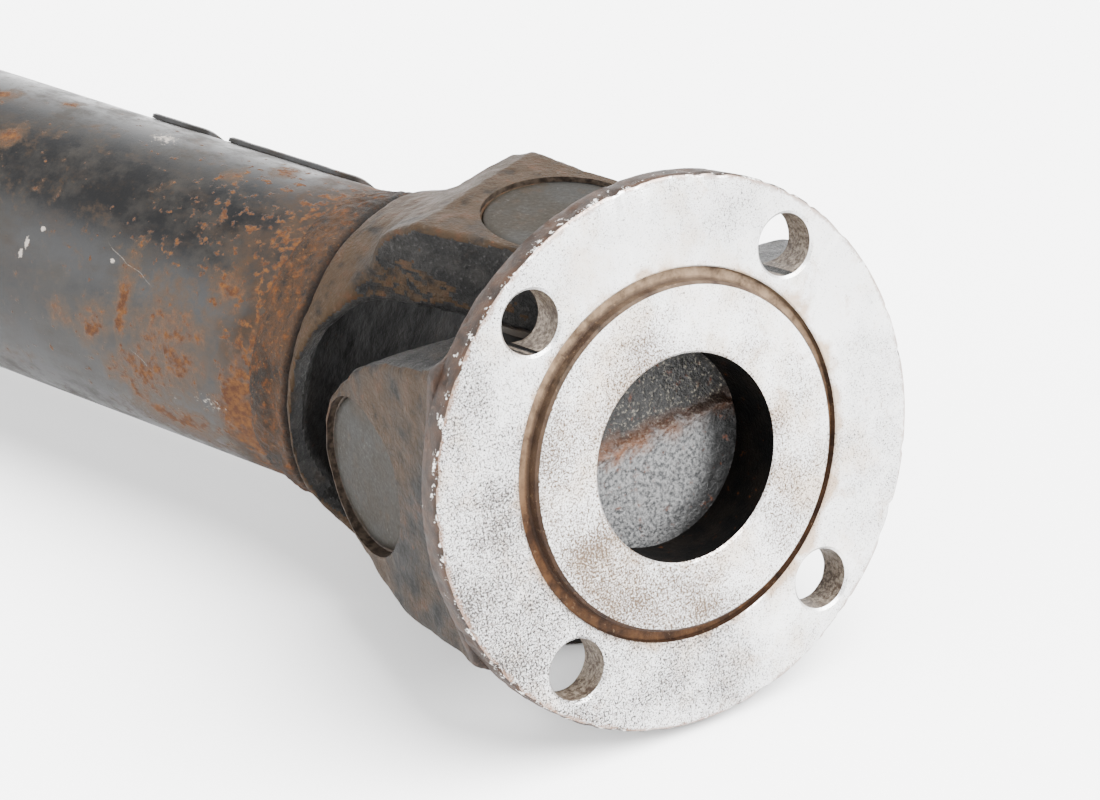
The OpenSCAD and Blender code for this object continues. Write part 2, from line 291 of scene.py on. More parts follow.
def field_mesh(name, field, low, high, step):
    """Mesh of the surface where the field is zero, in the box from low to high."""
    axes = [np.arange(a, b + step, step, dtype=np.float32) for a, b in zip(low, high)]
    values = field(*np.meshgrid(*axes, indexing="ij")).astype(np.float32)
    grid = openvdb.FloatGrid(4 * step)
    grid.copyFromArray(values)
    points, quads = grid.convertToQuads(0.0)
    points = points * step + np.array([a[0] for a in axes])
    return mend_normals(mesh_object(name, points.tolist(), quads.tolist()))


def layered(point, offset, layers):
    """Smooth noise at a point, summed over (size, height) layers."""
    return sum(height * noise.noise(point / size + offset) for size, height in layers)


def roughen(obj, layers, seed, limit=99.0):
    """Pushes the vertices along their normals by smooth noise of (size, height) pairs, and holds
    them within the limit on the Z axis."""
    mesh = obj.data
    offset = Vector((seed * 17.3, seed * 5.1, seed * 9.7))
    moved = []
    for vertex in mesh.vertices:
        point = vertex.co + vertex.normal * layered(vertex.co, offset, layers)
        moved.extend((point.x, point.y, max(-limit, min(limit, point.z))))
    mesh.vertices.foreach_set("co", moved)
    mesh.update()


# ---- yokes

def fork_field(x, y, z):
    """Fork with its ears on the Z axis: a turned base cut to the arms' height and width, a round
    boss on each ear and the U-shaped slot between them."""
    az, ay, r = np.abs(z), np.abs(y), np.hypot(y, z)
    turned_part = field_polygon(r, x, [
        (PAST_AXIS, NECK_END), (36.4, NECK_END), (38.4, NECK_END + 1.6), (38.8, NECK_END + 3),
        (41, -39), (44, -34), (60, -28), (60, 1), (PAST_AXIS, 1)])
    height = field_polygon(x, az, [
        (-60, 66), (-39, 42), (-31, EAR_OUT - 4), (-23, EAR_OUT), (1, EAR_OUT),
        (1, PAST_AXIS), (-60, PAST_AXIS)])
    width = field_polygon(x, ay, [
        (-60, 55), (-40, 30), (-34, 25.5), (-27, 23.3), (-20, 22.8), (-12, 21.5), (0, 19.5),
        (1, 19.5), (1, PAST_AXIS), (-60, PAST_AXIS)])
    body = smooth_max(smooth_max(turned_part, height, 2.5), width, 1.8)
    boss = field_rod(az, x, y, BOSS_R, EAR_IN - 4, EAR_OUT, 0.9)
    body = smooth_min(body, boss, 2.5)
    slot = field_polygon(x, az, [
        (60, EAR_IN), (-18, EAR_IN), (-29, 28.8), (-36, 27.3), (-40, 24), (-43.5, 20), (-46, 14),
        (SLOT_BOTTOM, 6), (SLOT_BOTTOM, PAST_AXIS), (60, PAST_AXIS)])
    body = smooth_max(body, -slot, 1.6)
    dish = field_rod(x, y, z, DISH_R, SLOT_BOTTOM, SLOT_BOTTOM + 12, 2)
    return smooth_max(body, -dish, 1.2)


# Half size in Y and Z, and far end in X, of the box that holds a fork.
FORK_REACH = (26, 45, 54)


def ear_cutters(axis):
    """Cutters of the two bored holes of a yoke, with the lead-in chamfer at each mouth."""
    cutters = []
    for side in (-1, 1):
        bore = lathe("bore", [(0, EAR_IN - 8), (CUP_R + 0.02, EAR_IN - 8),
                              (CUP_R + 0.02, EAR_OUT - 1.6), (CUP_R + 0.4, EAR_OUT - 1.2),
                              (CUP_R + 0.4, EAR_OUT + 8), (0, EAR_OUT + 8)], 128)
        cutters.append(on_ear(bore, axis, side))
    return join("cutters", cutters)


def forged_fork(name, field, back, step, layers, seed):
    """Fork made from its field, from x = back on, then roughened and bored."""
    low = (back, -FORK_REACH[1], -FORK_REACH[2])
    obj = field_mesh(name, field, low, FORK_REACH, step)
    roughen(obj, layers, seed, EAR_OUT)
    boolean(obj, ear_cutters("Z"), "DIFFERENCE")
    return smooth(obj)


def tube_yoke(step):
    """Fork with the spigot that the tube is pressed on."""
    def field(x, y, z):
        spigot = field_rod(x, y, z, SPIGOT_R - 0.3, NECK_END - 18, NECK_END + 1, 0.5)
        return np.minimum(fork_field(x, y, z), spigot)
    layers = [(16, 0.5), (6, 0.28), (2.2, 0.14)]
    return forged_fork("tube_yoke_forging", field, NECK_END - 19.5, step, layers, 1)


def slip_yoke(step, mouth):
    """Fork with the splined sleeve behind it and the seat of its grease nipple."""
    def field(x, y, z):
        r = np.hypot(y, z)
        sleeve = field_polygon(r, x, [
            (PAST_AXIS, mouth), (SLEEVE_R - 1.2, mouth), (SLEEVE_R - 1.2, NECK_END - 14),
            (34, NECK_END - 3), (37, NECK_END + 4), (PAST_AXIS, NECK_END + 4)]) - 1.0
        seat = field_rod(z, x - NIPPLE_SEAT_X, y, 6, 0, SLEEVE_R + 1.4, 1)
        body = smooth_min(fork_field(x, y, z), sleeve, 4)
        body = smooth_min(body, seat, 3)
        bore = field_rod(x, y, z, SPLINE_BORE_R, mouth - 9, SLOT_BOTTOM - 9)
        return np.maximum(body, -bore)
    layers = [(16, 0.4), (6, 0.25), (2.6, 0.12)]
    return forged_fork("slip_yoke_forging", field, mouth - 3, step, layers, 5)


def flange_profile():
    """Closed (radius, x) outline of the turned flange, with its pilot, groove and pocket."""
    back = FACE - FLANGE_T
    floor = [(POCKET_R - k * 0.75, POCKET_FLOOR) for k in range(30)]
    return [
        (0, POCKET_FLOOR - 5), (20, POCKET_FLOOR - 5), (26, back + 1), (FLANGE_R - 2.2, back + 1),
        (FLANGE_R - 0.6, back + 1.5), (FLANGE_R, back + 2.4), (FLANGE_R, back + 3.6),
        (FLANGE_R, back + 4.8), (FLANGE_R, back + 6), (FLANGE_R, FACE - 1.0),
        (FLANGE_R - 0.35, FACE - 0.35), (FLANGE_R - 1.0, FACE),
        (GROOVE_R + 0.3, FACE), (GROOVE_R, FACE - 0.25),
        (GROOVE_R - 0.3, FACE - GROOVE_DEPTH), (PILOT_R + 0.5, FACE - GROOVE_DEPTH),
        (PILOT_R, FACE - GROOVE_DEPTH + 0.5), (PILOT_R, PILOT_TOP - 0.6),
        (PILOT_R - 0.6, PILOT_TOP), (POCKET_R + 0.5, PILOT_TOP), (POCKET_R, PILOT_TOP - 0.5)
    ] + floor + [(0, POCKET_FLOOR)]


def weather_plate(plate, seed):
    """Nicks in the flange's rim, and the rough forged floor of the pocket with its step."""
    offset = Vector((seed * 7.7, 3.1, 1.7))
    for vertex in plate.data.vertices:
        x, y, z = vertex.co
        r = math.hypot(y, z)
        if r > FLANGE_R - 1.2 and x > FACE - FLANGE_T + 1.5:
            bite = max(0.0, noise.noise(vertex.co / 2.6 + offset) - 0.12)
            dent = max(0.0, noise.noise(vertex.co / 9 + offset))
            keep = 1 - (bite * 1.1 + dent * 0.3) / FLANGE_R
            vertex.co = (x, y * keep, z * keep)
        elif r < POCKET_R - 0.2 and abs(x - POCKET_FLOOR) < 0.1:
            border = 2.2 + 0.09 * y + 1.6 * noise.noise(Vector((y / 4, seed, 0)))
            above = z - border
            step = -1.3 * min(max(above / 1.6, 0), 1)
            ridge = 0.9 * math.exp(-(above / 1.1) ** 2)
            grain = layered(vertex.co, offset, ((2.4, 0.3), (1.0, 0.22)))
            vertex.co = (x + step + ridge + grain, y, z)
    plate.data.update()


def flange_yoke(name, step, seed):
    """Flange with its two ears: a forging with the turned plate joined on, then bored."""
    back = FACE - FLANGE_T

    def field(x, y, z):
        ay, az, r = np.abs(y), np.abs(z), np.hypot(y, z)
        outer = ay - (EAR_OUT + 0.2 + 0.1 * np.clip(x + 18, 0, 30))
        boss = field_rod(ay, x, z, BOSS_R, EAR_IN, EAR_OUT + 20)
        arm = field_polygon(x, az, [(-6, PAST_AXIS), (-6, 19), (1.3, 24.2), (9.4, 27.3), (18.6, 30),
                                    (back + 3, 32), (back + 3, PAST_AXIS)])
        arm = smooth_max(arm, EAR_IN - ay, 2)
        ears = smooth_max(smooth_min(boss, arm, 3), outer, 2.2)
        hub = field_polygon(r, x, [(PAST_AXIS, 29.5), (15, 29.5), (27, back - 1), (27, back + 3),
                                   (PAST_AXIS, back + 3)])
        plate = field_polygon(r, x, [
            (PAST_AXIS, back), (FLANGE_R - 1.6, back), (FLANGE_R - 0.8, back + 1),
            (FLANGE_R - 0.8, back + 3), (PAST_AXIS, back + 3)])
        body = smooth_min(smooth_min(hub, plate, 4), ears, 5)
        body = np.maximum(body, x - (back + 2.5))
        pocket = np.maximum(r - (POCKET_R + 2), POCKET_FLOOR - 2 - x)
        return np.maximum(body, -pocket)

    forging = field_mesh(name, field, (-24, -62, -62), (back + 4, 62, 62), step)
    roughen(forging, [(15, 0.45), (5, 0.25), (2, 0.12)], seed)
    plate = lathe("plate", flange_profile(), 360)
    weather_plate(plate, seed)
    boolean(forging, plate, "UNION")
    boolean(forging, ear_cutters("Y"), "DIFFERENCE")
    holes = join("holes", [hole_cutter(y * BOLT_Y, z * BOLT_Z) for y in (-1, 1) for z in (-1, 1)])
    boolean(forging, holes, "DIFFERENCE")
    return smooth(forging)


def hole_cutter(y, z):
    """Cutter of one bolt hole, with a small chamfer at the face."""
    cutter = lathe("hole", [(0, FACE - FLANGE_T - 14), (BOLT_R, FACE - FLANGE_T - 14),
                            (BOLT_R, FACE - 0.6), (BOLT_R + 0.9, FACE + 0.3),
                            (BOLT_R + 0.9, FACE + 6), (0, FACE + 6)], 96)
    cutter.data.transform(Matrix.Translation((0, y, z)))
    return cutter


# ---- tube, welds and cups

def weld_bead(name, front, back, crest_r, seed):
    """Rough welded ring with overlapping ripples, from x = back to x = front."""
    width = front - back
    rings = 26
    rows = [(SPIGOT_R + 0.05, front)]
    for k in range(rings + 1):
        u = k / rings
        hump = min(1, 0.35 + 5 * u) * (1 - u) ** 0.7
        rows.append((TUBE_R - 0.3 + (crest_r - TUBE_R + 0.6) * hump, front - width * u))
    rows.append((SPIGOT_R + 0.05, back))
    obj = lathe(name, rows, 420)
    offset = Vector((seed, 2.3, 0.4))
    pitch = 2 * math.pi / 84
    for vertex in obj.data.vertices:
        x, y, z = vertex.co
        r = math.hypot(y, z)
        if r < TUBE_R - 1:
            continue
        u = (front - x) / width
        edge = 4 * u * (1 - u)
        turn = math.atan2(z, y) + 0.035 * (2 * u - 1) ** 2
        ripple = 0.12 * abs(math.sin(math.pi * turn / pitch)) * edge
        lump = 1.0 * noise.noise(vertex.co / 7 + offset) * edge
        grain = layered(vertex.co, offset, ((2.2, 0.35), (0.9, 0.16)))
        grow = 1 + (lump + grain - ripple) / r
        vertex.co = (x, y * grow, z * grow)
    obj.data.update()
    return smooth(obj, 50)


def tube_shell(front, back):
    """Drawn tube, very slightly uneven, with a broken edge at each end."""
    stations = [front - 0.8 - (front - back - 1.6) * k / 90 for k in range(91)]
    rows = [(SPIGOT_R + 0.05, front), (TUBE_R - 0.8, front)]
    rows += [(TUBE_R - 0.02, x) for x in stations]
    rows += [(TUBE_R - 0.8, back), (SPIGOT_R + 0.05, back)]
    obj = lathe("tube_shell", rows, 192)
    for vertex in obj.data.vertices:
        x, y, z = vertex.co
        if math.hypot(y, z) < TUBE_R - 0.5:
            continue
        sink = 0.05 * noise.noise(vertex.co / 30) - 0.06
        vertex.co = (x, y * (1 + sink / TUBE_R), z * (1 + sink / TUBE_R))
    obj.data.update()
    return smooth(obj, 50)


def weight_plate(name, front, back, from_angle, to_angle):
    """Balance weight: a curved plate with round corners, laid on the tube."""
    inner, outer = TUBE_R + 0.02, TUBE_R + 1.4
    corner, rows, steps = 4.0, 48, 26
    half_length = (front - back) / 2
    half_width = TUBE_R * (to_angle - from_angle) / 2
    bm = bmesh.new()
    grids = []
    for radius, pull in ((inner, 0.0), (outer - 0.45, 0.0), (outer, 0.5)):
        grid = []
        for i in range(rows + 1):
            u = -1 + 2 * i / rows
            x = (half_length - pull) * math.sin(u * math.pi / 2)
            over = max(0.0, abs(x) - (half_length - pull - corner)) / corner
            width = half_width - pull - corner + corner * math.sqrt(max(0.0, 1 - over * over))
            row = []
            for k in range(steps + 1):
                s = width * (-1 + 2 * k / steps)
                a = (from_angle + to_angle) / 2 + s / TUBE_R
                dip = 0.12 * noise.noise(Vector((x / 5, s / 5, from_angle))) if pull else 0.0
                r = radius + dip - 0.12 * bool(pull)
                row.append(bm.verts.new(((front + back) / 2 + x, r * math.cos(a), r * math.sin(a))))
            grid.append(row)
        grids.append(grid)
    for grid in (grids[0], grids[2]):
        for a, b in zip(grid, grid[1:]):
            for k in range(steps):
                bm.faces.new((a[k], a[k + 1], b[k + 1], b[k]))
    for low, high in zip(grids, grids[1:]):
        rims = [[row[0] for row in g] + g[-1][1:] + [row[-1] for row in g[-2::-1]] + g[0][-2:0:-1]
                for g in (low, high)]
        count = len(rims[0])
        for k in range(count):
            j = (k + 1) % count
            bm.faces.new((rims[0][k], rims[0][j], rims[1][j], rims[1][k]))
    bmesh.ops.recalc_face_normals(bm, faces=bm.faces)
    return smooth(bmesh_object(name, bm), 40)


def cup_pair(name, axis):
    """Two bearing cups with their dished faces, hollow for the needles."""
    cups = []
    for side in (-1, 1):
        cup = lathe("cup", [
            (0, CUP_FACE - 0.25), (6, CUP_FACE - 0.2), (13.5, CUP_FACE - 0.05), (15.2, CUP_FACE),
            (16.6, CUP_FACE), (17.2, CUP_FACE - 0.25), (CUP_R - 0.03, CUP_FACE - 0.9),
            (CUP_R - 0.03, EAR_IN), (CUP_R - 0.9, EAR_IN), (CUP_R - 0.9, EAR_IN - 1.6),
            (CUP_R - 0.03, EAR_IN - 1.6), (CUP_R - 0.03, CUP_MOUTH), (14.1, CUP_MOUTH),
            (14.1, CUP_FACE - 4), (0, CUP_FACE - 4)], 128)
        cups.append(on_ear(cup, axis, side))
    return smooth(join(name, cups), 30)


# ---- shader helpers

class Shader:
    """A procedural material. Positions are metres in the frame given, or else the row's frame."""

    def __init__(self, name, local=None):
        self.material = bpy.data.materials.new(name)
        self.material.use_nodes = True
        self.tree = self.material.node_tree
        self.bsdf = self.tree.nodes["Principled BSDF"]
        self.position = self.tree.nodes.new("ShaderNodeTexCoord").outputs["Object"]
        if local is not None:
            mapped = self.node("ShaderNodeMapping", {
                "Vector": self.position, "Location": local.to_translation(),
                "Rotation": local.to_euler()}, vector_type="TEXTURE")
            self.position = mapped.outputs[0]
        self.axes = self.node("ShaderNodeSeparateXYZ", {0: self.position}).outputs

    def node(self, kind, inputs=(), **settings):
        made = self.tree.nodes.new(kind)
        for key, value in settings.items():
            setattr(made, key, value)
        for key, value in dict(inputs).items():
            self.set(made.inputs[key], value)
        return made

    def set(self, socket, value):
        if isinstance(value, bpy.types.NodeSocket):
            self.tree.links.new(value, socket)
        else:
            socket.default_value = value

    def noise(self, size_mm, detail=4.0, roughness=0.6, stretch=(1, 1, 1), seed=0.0,
              distortion=0.0):
        mapped = self.node("ShaderNodeMapping", {
            "Vector": self.position, "Location": (seed, seed * 0.7, seed * 1.3), "Scale": stretch})
        made = self.node("ShaderNodeTexNoise", {
            "Vector": mapped.outputs[0], "Scale": 1000 / size_mm, "Detail": detail,
            "Roughness": roughness, "Distortion": distortion})
        return made.outputs[0]

    def ramp(self, value, low, high, to_low=0.0, to_high=1.0):
        made = self.node("ShaderNodeMapRange", {
            "Value": value, "From Min": low, "From Max": high, "To Min": to_low, "To Max": to_high})
        return made.outputs[0]

    def math(self, operation, a, b=0.0):
        made = self.node("ShaderNodeMath", {0: a, 1: b}, operation=operation)
        return made.outputs[0]

    def add(self, *terms):
        total = terms[0]
        for term in terms[1:]:
            total = self.math("ADD", total, term)
        return total

    def times(self, a, b):
        return self.math("MULTIPLY", a, b)

    def highest(self, *terms):
        best = terms[0]
        for term in terms[1:]:
            best = self.math("MAXIMUM", best, term)
        return best

    def mix(self, factor, a, b):
        made = self.node("ShaderNodeMix", {0: factor, 6: a, 7: b}, data_type="RGBA")
        return made.outputs[2]

    def vector(self, operation, inputs, output=0):
        return self.node("ShaderNodeVectorMath", inputs, operation=operation).outputs[output]

    def over(self, below, color, value, low, high, share=1.0):
        """Lays a colour over another, up to the share, as the value goes from low to high."""
        return self.mix(self.ramp(value, low, high, 0, share), below, color)

    def apart(self, a, b):
        return self.math("ABSOLUTE", self.math("SUBTRACT", a, b))

    def near(self, point_mm, radius_mm, stretch=(1, 1, 1)):
        """1 at a point, falling to 0 at the radius, which stretch divides along each axis."""
        centre = Vector(point_mm) * MM
        moved = self.vector("SUBTRACT", {0: self.position, 1: centre})
        scaled = self.vector("MULTIPLY", {0: moved, 1: stretch})
        length = self.vector("LENGTH", {0: scaled}, "Value")
        return self.ramp(length, 0, radius_mm * MM, 1, 0)

    def stroke(self, start_mm, end_mm, half_width_mm, bend):
        """1 on a thin scratch between two points of a surface that faces away from the X axis.
        bend, in millimetres, moves it sideways."""
        start, end = Vector(start_mm), Vector(end_mm)
        middle = (start + end) / 2
        across = (end - start).cross(Vector((0, middle.y, middle.z))).normalized()
        level = self.vector("DOT_PRODUCT", {0: self.position, 1: across * 1000}, "Value")
        level = self.add(level, -middle.dot(across), bend)
        line = self.ramp(self.math("ABSOLUTE", level), 0, half_width_mm, 1, 0)
        return self.times(line, self.ramp(self.near(middle, (end - start).length / 2), 0, 0.35))

    def radius(self):
        """Distance from the frame's X axis, in millimetres."""
        flat = self.vector("MULTIPLY", {0: self.position, 1: (0, 1000, 1000)})
        return self.vector("LENGTH", {0: flat}, "Value")

    def along(self, index):
        """Coordinate on one axis, in millimetres."""
        return self.math("MULTIPLY", self.axes[index], 1000)

    def bump(self, height, distance_mm, strength=1.0):
        made = self.node("ShaderNodeBump", {
            "Height": height, "Distance": distance_mm * MM, "Strength": strength})
        self.set(self.bsdf.inputs["Normal"], made.outputs[0])

    def finish(self, color, roughness, specular=0.5, metallic=0.0):
        for key, value in (("Base Color", color), ("Roughness", roughness), ("Metallic", metallic)):
            self.set(self.bsdf.inputs[key], value)
        self.bsdf.inputs["Specular IOR Level"].default_value = specular
        return self.material


def rgb(r, g, b):
    return (r, g, b, 1.0)


def grey(level):
    return rgb(level, level, level)


SOOT = rgb(0.0025, 0.0022, 0.002)
SCALE_GREY = rgb(0.0105, 0.01, 0.0095)
SCALE_BROWN = rgb(0.0185, 0.0105, 0.0046)
RUST_DARK = rgb(0.03, 0.011, 0.0036)
RUST_ORANGE = rgb(0.07, 0.023, 0.0045)
STEEL = rgb(0.7, 0.695, 0.69)


def forging(name, local, brown, seed=0.0):
    """Forged skin: grey scale, brown rust by the share given, soot in the hollows."""
    s = Shader(name, local)
    large = s.noise(24, 5, 0.6, seed=seed)
    middle = s.noise(6, 6, 0.65, seed=seed + 3)
    fine = s.noise(1.1, 4, 0.7, seed=seed + 5)
    spread = s.add(large, s.times(middle, 0.5))
    base = s.over(SCALE_GREY, SCALE_BROWN, spread, 1.0 - brown * 0.5, 1.2 - brown * 0.5)
    tone = s.over(base, RUST_DARK, middle, 0.54, 0.72, 0.35 + 0.4 * brown)
    tone = s.over(tone, RUST_ORANGE, s.noise(2.6, 5, 0.7, seed=seed + 8), 0.62, 0.74, 0.7 * brown)
    tone = s.over(tone, SOOT, middle, 0.46, 0.34, 0.75)
    tone = s.over(tone, rgb(0.055, 0.045, 0.036), fine, 0.6, 0.74, 0.5)
    s.bump(s.add(s.times(middle, 1.6), fine), 0.6, 0.85)
    return s.finish(tone, s.ramp(middle, 0.3, 0.7, 0.7, 0.5), 0.1)


def granular(name, local, seed=0.0):
    """Rough dark cast surface with bright grains, on the sides of the arms."""
    s = Shader(name, local)
    middle = s.noise(5, 5, 0.6, seed=seed)
    fine = s.noise(0.9, 4, 0.75, seed=seed + 5)
    base = s.over(rgb(0.003, 0.0028, 0.0027), rgb(0.013, 0.012, 0.011), middle, 0.42, 0.62)
    tone = s.over(base, SCALE_BROWN, s.noise(9, 5, 0.6, seed=seed + 2), 0.56, 0.7, 0.6)
    tone = s.over(tone, rgb(0.06, 0.058, 0.056), fine, 0.57, 0.7, 0.6)
    s.bump(s.add(middle, s.times(fine, 1.6)), 0.7, 1.0)
    return s.finish(tone, s.ramp(fine, 0.3, 0.7, 0.62, 0.42), 0.14)


def painted_shade_and_rust_inside(name, local, rust=0.0, rim=99.0):
    """Near-black inside of a fork or pocket, painted shade where its faces lie in shadow, with flecks of rust by
    the share given. It turns into the grey skin outside the rim's radius."""
    s = Shader(name, local)
    middle = s.noise(7, 5, 0.6, seed=1)
    fine = s.noise(1.2, 4, 0.7, seed=2)
    # Near-black base colour: painted shade for the shadowed inside.
    tone = s.over(grey(0.0007), rgb(0.0026, 0.002, 0.0016), middle, 0.42, 0.64)
    tone = s.over(tone, rgb(0.008, 0.007, 0.006), fine, 0.62, 0.74, 0.25)
    tone = s.over(tone, RUST_DARK, s.noise(1.9, 5, 0.7, seed=41), 0.62, 0.7, rust)
    edge = s.ramp(s.add(s.radius(), s.times(middle, 3)), rim, rim + 1.6)
    tone = s.mix(edge, tone,
                 s.over(rgb(0.0045, 0.0042, 0.004), rgb(0.018, 0.017, 0.016), fine, 0.45, 0.62))
    s.bump(s.add(middle, fine), 0.5, 0.8)
    return s.finish(tone, s.ramp(middle, 0.3, 0.7, 0.7, 0.55), 0.04)


def rusty_weld(name, local):
    s = Shader(name, local)
    large = s.noise(11, 5, 0.6, seed=2)
    streak = s.noise(3.2, 6, 0.72, stretch=(1.3, 1, 1), seed=4)
    fine = s.noise(0.9, 4, 0.7, seed=6)
    base = s.over(rgb(0.007, 0.0043, 0.0026), rgb(0.023, 0.0112, 0.005), large, 0.4, 0.6)
    tone = s.over(base, RUST_ORANGE, streak, 0.53, 0.68, 0.75)
    tone = s.over(tone, SOOT, streak, 0.46, 0.36, 0.9)
    tone = s.over(tone, rgb(0.13, 0.06, 0.018), fine, 0.6, 0.73, 0.6)
    tone = s.over(tone, SOOT, s.along(X), NECK_END - 2.2, NECK_END - 0.6, 0.85)
    s.bump(s.add(s.times(streak, 1.5), fine), 0.6, 0.9)
    return s.finish(tone, s.ramp(streak, 0.3, 0.7, 0.6, 0.85), 0.12)


def tube_paint(name, local):
    """Satin black paint, dirty and mottled, with rust breaking through and a few scratches."""
    s = Shader(name, local)
    spots = s.noise(2.3, 3, 0.6, seed=7)
    blots = s.noise(8, 7, 0.72, seed=12, distortion=0.3)
    cloud = s.noise(45, 4, 0.6, seed=9)
    fine = s.noise(0.8, 4, 0.65)
    grime = s.noise(15, 7, 0.72, seed=3)
    smear = s.noise(6, 6, 0.7, stretch=(0.5, 1, 1), seed=25)
    to_weld = s.ramp(s.along(X), -100, -60, 0, 1)
    end = s.ramp(s.along(X), -71, -60.5, 0, 0.12)
    patches = s.highest(
        s.near((-83, -33, 5), 20, (1, 1, 0.9)), s.near((-92, -34, -4), 17, (0.8, 1, 1.2)),
        s.near((-99, -32, 10), 14, (3.0, 1, 0.7)), s.near((-106, -34, 5), 10),
        s.near((-117, -34, 4), 6), s.near((-84, -31, -16), 18, (0.7, 1, 1.6)),
        s.near((-89, -3, 35), 5), s.near((-80, 6, 34), 6), s.near((-147, 5, 34), 5),
        s.near((-150, -13, 32), 6), s.near((-163, -1, 35), 6), s.near((-71, -28, 20), 10),
        s.near((-66, -34, -4), 16, (1.4, 1, 0.6)))
    shower = s.highest(s.near((-82, -16, 31), 24, (0.9, 1, 1)), s.near((-76, 5, 34), 20))
    spot_level = s.add(spots, s.times(to_weld, 0.04), s.times(cloud, 0.12), end,
                       s.times(patches, 0.1), s.times(shower, 0.11))
    small = s.ramp(s.add(spot_level, s.times(fine, 0.16)), 0.81, 0.9)
    blot_level = s.add(s.times(blots, 0.65), s.times(spots, 0.35), s.times(patches, 0.3), end)
    big = s.ramp(blot_level, 0.66, 0.8)
    rust = s.highest(small, big)
    paint = s.over(rgb(0.0038, 0.0038, 0.004), rgb(0.0115, 0.0098, 0.008), grime, 0.45, 0.68)
    brown = s.highest(s.ramp(blot_level, 0.54, 0.66, 0, 0.9),
                      s.times(s.ramp(smear, 0.5, 0.66, 0, 0.55), s.ramp(to_weld, 0, 1, 0.4, 1)))
    paint = s.mix(brown, paint, rgb(0.02, 0.0115, 0.0058))
    paint = s.over(paint, SOOT, fine, 0.6, 0.72, 0.5)
    tint = s.over(rgb(0.026, 0.0095, 0.0034), rgb(0.06, 0.024, 0.006),
                  s.noise(1.6, 5, 0.72, seed=15), 0.42, 0.62)
    near_weld = s.add(s.along(X), s.ramp(blots, 0.3, 0.7, -6, 6))
    film = s.times(s.ramp(near_weld, -77, -65, 0, 1), s.ramp(grime, 0.36, 0.56, 0.4, 1.0))
    paint = s.mix(film, paint,
                  s.over(rgb(0.0085, 0.0052, 0.0032), rgb(0.018, 0.0092, 0.0038), blots, 0.4, 0.6))
    color = s.mix(rust, paint, tint)
    flecks = s.highest(
        s.near((-126.6, -28.4, 20.5), 1.1), s.near((-130, -30.6, 16.9), 1.8, (1.8, 1, 0.7)),
        s.near((-131.1, -31.9, 14.3), 1.6, (1.6, 1, 0.8)), s.near((-104.6, -29.4, 19), 1.1),
        s.times(s.near((-115, 3, 35), 6, (0.8, 1, 1)), 0.55),
        s.times(s.near((-84, -34.8, -12), 4, (1, 1, 0.5)), 0.42),
        s.times(s.near((-73, -34.6, -6), 5, (0.6, 1, 1.2)), 0.42))
    chalk = s.ramp(s.add(flecks, s.times(s.noise(0.9, 4, 0.7, seed=33), 1.4)), 1.06, 1.24)
    bend = s.ramp(s.noise(9, 2, 0.4, seed=21), 0.3, 0.7, -0.9, 0.9)
    scratch = s.highest(
        s.stroke((-107.7, -27.2, 22), (-91.1, -30.6, 17), 0.13, bend),
        s.stroke((-96, -34.6, 2), (-88, -34.8, -3), 0.1, bend))
    scratch = s.times(scratch, s.ramp(fine, 0.36, 0.6, 0, 0.45))
    bare = s.highest(s.times(chalk, 0.8), scratch)
    color = s.mix(bare, color, rgb(0.22, 0.195, 0.17))
    height = s.add(s.times(rust, 0.5), s.times(fine, 0.14), s.times(grime, 0.5))
    s.bump(height, 0.22, 0.6)
    dull = s.highest(rust, s.times(bare, 0.5), s.times(film, 0.85), s.times(brown, 0.45))
    dull = s.highest(dull, s.ramp(s.add(grime, s.times(smear, 0.5)), 0.68, 0.9, 0, 0.45))
    return s.finish(color, s.ramp(dull, 0, 1, 0.28, 0.92), 0.16)


def plain_paint(name):
    """The same paint, plainer, for small painted parts."""
    s = Shader(name)
    blots = s.noise(5, 6, 0.66, seed=12)
    fine = s.noise(0.8, 4, 0.65)
    rust = s.ramp(blots, 0.62, 0.69)
    paint = s.over(rgb(0.0022, 0.0022, 0.0023), rgb(0.007, 0.0064, 0.0058), fine, 0.4, 0.66)
    color = s.mix(rust, paint, rgb(0.034, 0.013, 0.0045))
    s.bump(s.add(s.times(rust, 0.5), s.times(fine, 0.2)), 0.2, 0.6)
    return s.finish(color, s.ramp(rust, 0, 1, 0.45, 0.8), 0.12)


